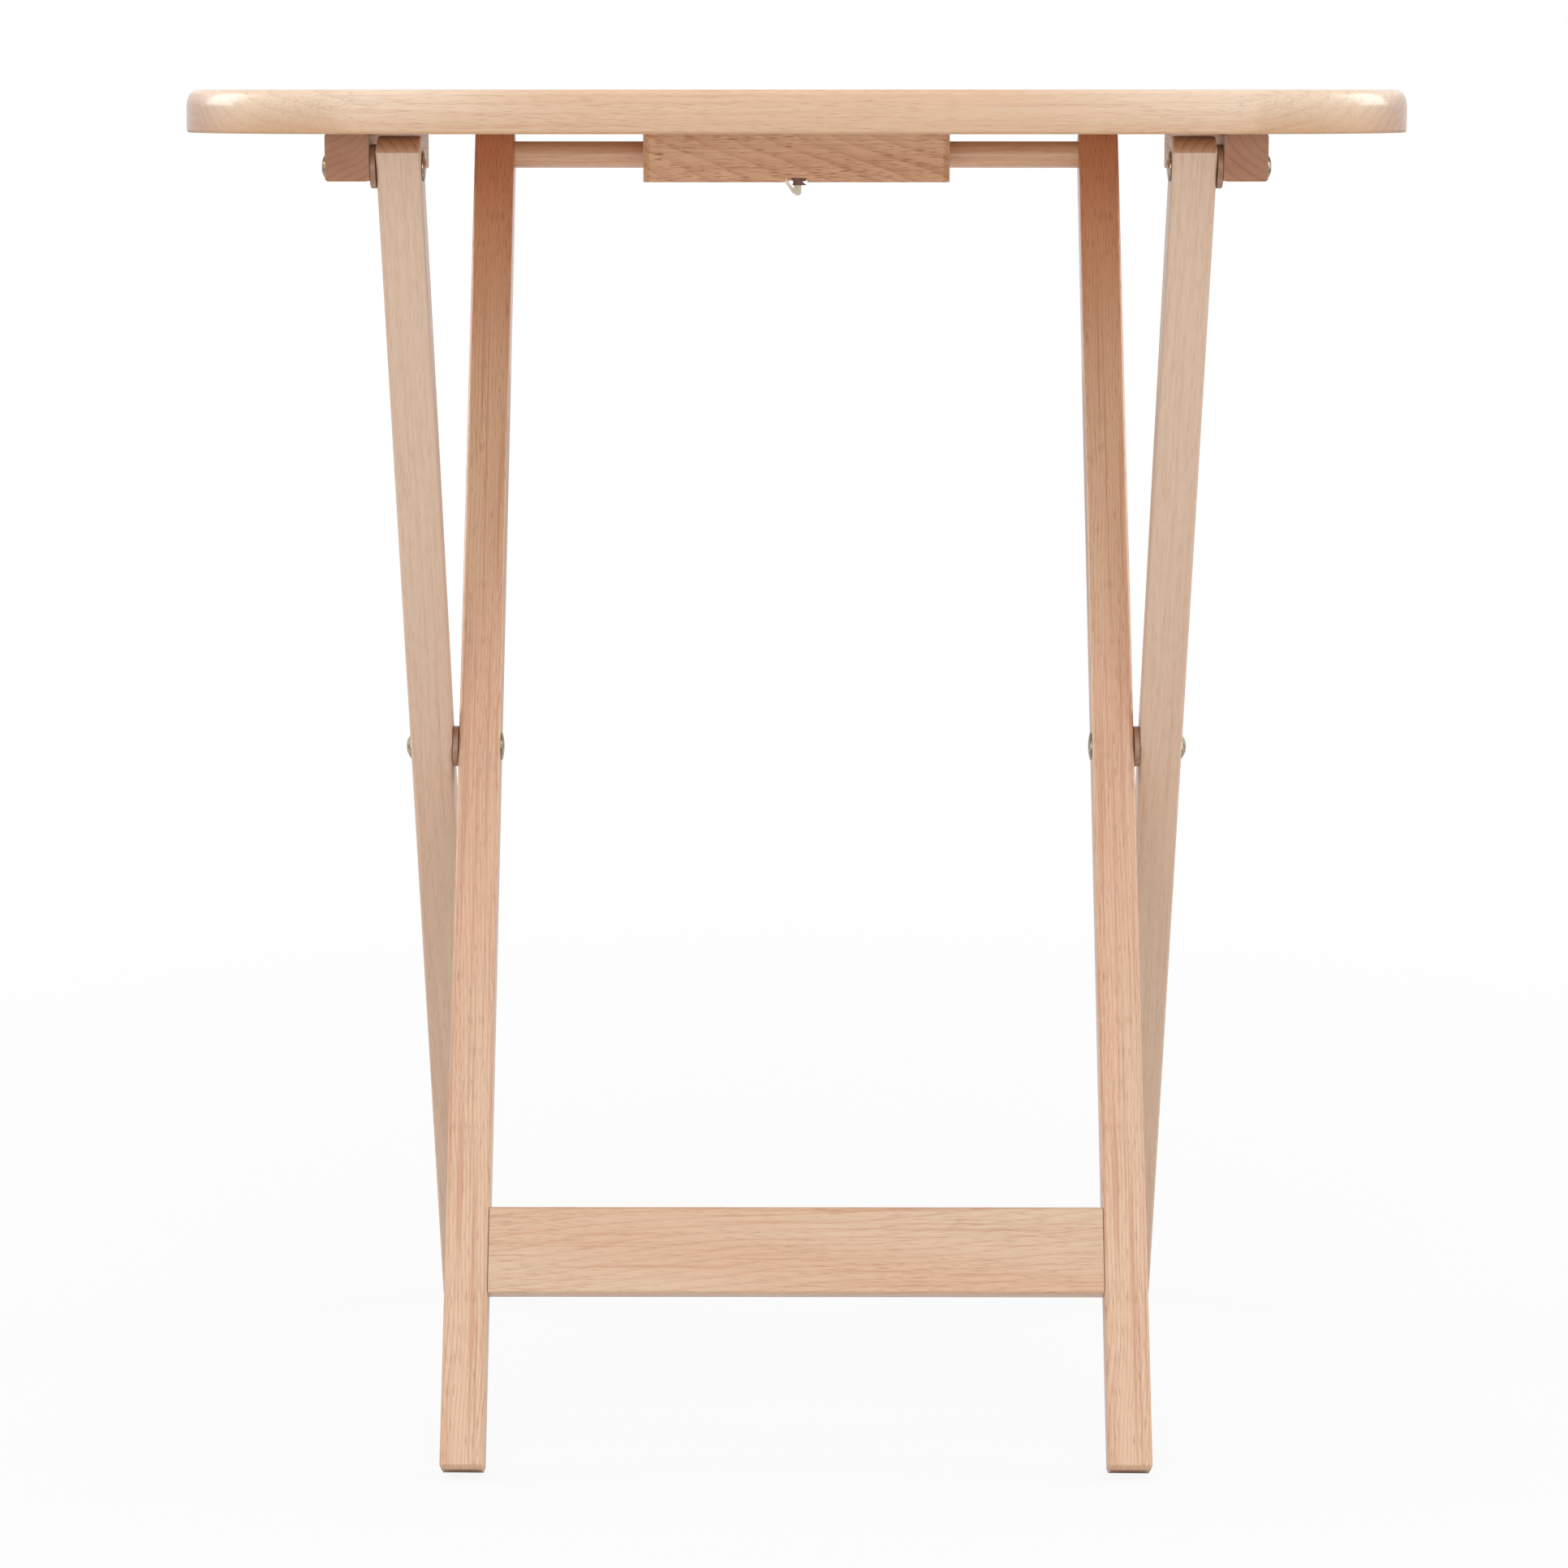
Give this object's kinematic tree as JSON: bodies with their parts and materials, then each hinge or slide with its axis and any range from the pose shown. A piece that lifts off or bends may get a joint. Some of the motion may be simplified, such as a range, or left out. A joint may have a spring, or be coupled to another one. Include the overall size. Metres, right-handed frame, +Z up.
{
  "type": "folding tray table",
  "caption": "Wooden folding snack table: rounded rectangular top on two crossed leg frames, with pivot bolts, a latch dowel and a snap catch under the top.",
  "frame": {"origin": "centre of the footprint on the floor, under the middle of the tabletop", "axes": "+X to the user's right along the tabletop's long side, +Y from the front edge to the back, +Z up"},
  "size_m": [0.576, 0.4, 0.66],
  "materials": {
    "lacquered_wood": "satin lacquer over pale hardwood",
    "plated_steel": "nickel plated",
    "dark_steel": "dark bronzed steel",
    "nylon_natural": "natural nylon",
    "nylon_grey": "satin"
  },
  "bodies": {
    "outer_frame": {"mid_bolt_left": "plated_steel", "mid_bolt_right": "plated_steel", "mid_nut_left": "plated_steel", "mid_nut_right": "plated_steel", "mid_spacer_left": "nylon_grey", "mid_spacer_right": "nylon_grey", "outer_leg_left": "lacquered_wood", "outer_leg_right": "lacquered_wood"},
    "inner_frame": {"inner_leg_left": "lacquered_wood", "inner_leg_right": "lacquered_wood", "latch_dowel": "lacquered_wood", "lower_stretcher": "lacquered_wood", "stretcher_peg_left_lower": "lacquered_wood", "stretcher_peg_left_upper": "lacquered_wood", "stretcher_peg_right_lower": "lacquered_wood", "stretcher_peg_right_upper": "lacquered_wood"},
    "top": {"block_screw_left": "plated_steel", "block_screw_right": "plated_steel", "catch_block": "lacquered_wood", "catch_clip": "nylon_natural", "catch_lug": "plated_steel", "catch_plate": "dark_steel", "catch_screw": "plated_steel", "catch_washer": "dark_steel", "cleat_left": "lacquered_wood", "cleat_right": "lacquered_wood", "cleat_screw_left_1": "plated_steel", "cleat_screw_left_2": "plated_steel", "cleat_screw_left_3": "plated_steel", "cleat_screw_right_1": "plated_steel", "cleat_screw_right_2": "plated_steel", "cleat_screw_right_3": "plated_steel", "tabletop": "lacquered_wood", "top_bolt_left": "plated_steel", "top_bolt_right": "plated_steel", "top_nut_left": "plated_steel", "top_nut_right": "plated_steel", "top_spacer_left": "nylon_grey", "top_spacer_right": "nylon_grey"}
  },
  "joints": [
    {"name": "leg_fold", "type": "hinge", "parent": "outer_frame", "child": "inner_frame", "pos_m": [0, -0.00658, 0.32993], "axis": [1, 0, 0], "range_deg": [0, 50.8], "deforming": ["catch_clip"]},
    {"name": "top_tilt", "type": "hinge", "parent": "outer_frame", "child": "top", "pos_m": [0, -0.1465, 0.6246], "axis": [1, 0, 0], "range_deg": [0, 115.5]}
  ],
  "couplings": [
    {"joint": "top_tilt", "follows": "leg_fold", "ratio": 2.2717}
  ]
}
